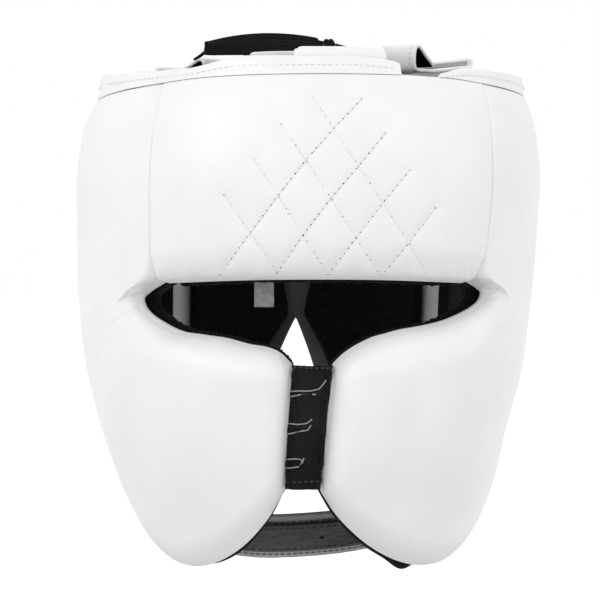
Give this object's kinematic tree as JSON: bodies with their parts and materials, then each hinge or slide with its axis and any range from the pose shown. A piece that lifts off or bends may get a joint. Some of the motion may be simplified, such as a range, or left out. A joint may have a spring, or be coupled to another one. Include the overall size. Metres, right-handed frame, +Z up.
{
  "type": "boxing headgear",
  "caption": "White padded leather boxing headgear with cheek guards, black lining, crown lacing and a buckled chin strap.",
  "frame": {"origin": "where the top of the head meets the underside of the crown tongue", "axes": "+Z up, -Y the way the wearer faces, +X the wearer's left"},
  "size_m": [0.2337, 0.2381, 0.267],
  "materials": {
    "white_leather": "smooth semi-gloss",
    "strap_leather": "crinkled satin",
    "black_leather": "glossy",
    "lining": "napped suede",
    "lace": "flat woven",
    "label": "woven",
    "buckle_steel": "polished"
  },
  "bodies": {
    "root": {"chin_strap": "strap_leather", "chin_strap_tongue": "strap_leather", "crown_edge_front": "white_leather", "crown_edge_left": "white_leather", "crown_edge_rear_left": "white_leather", "crown_edge_rear_right": "white_leather", "crown_lace_left": "lace", "crown_lace_right": "lace", "crown_loop_left": "white_leather", "crown_loop_right": "white_leather", "crown_tab": "white_leather", "crown_tongue": "white_leather", "ear_link_left": "lining", "ear_link_right": "lining", "forehead_lining": "lining", "forehead_pad": "white_leather", "lace_hank": "lace", "lace_knot": "lace", "lace_tail": "lace", "lacing_strip_left": "white_leather", "lacing_strip_right": "white_leather", "mouth_bridge": "black_leather", "neck_link_left": "white_leather", "neck_link_right": "white_leather", "rear_lace": "lace", "rear_lining_left": "lining", "rear_lining_right": "lining", "rear_pad_left": "white_leather", "rear_pad_right": "white_leather", "side_lining_left": "lining", "side_lining_right": "lining", "side_pad_left": "white_leather", "side_pad_right": "white_leather", "size_label": "label", "strap_buckle": "buckle_steel"}
  },
  "joints": []
}
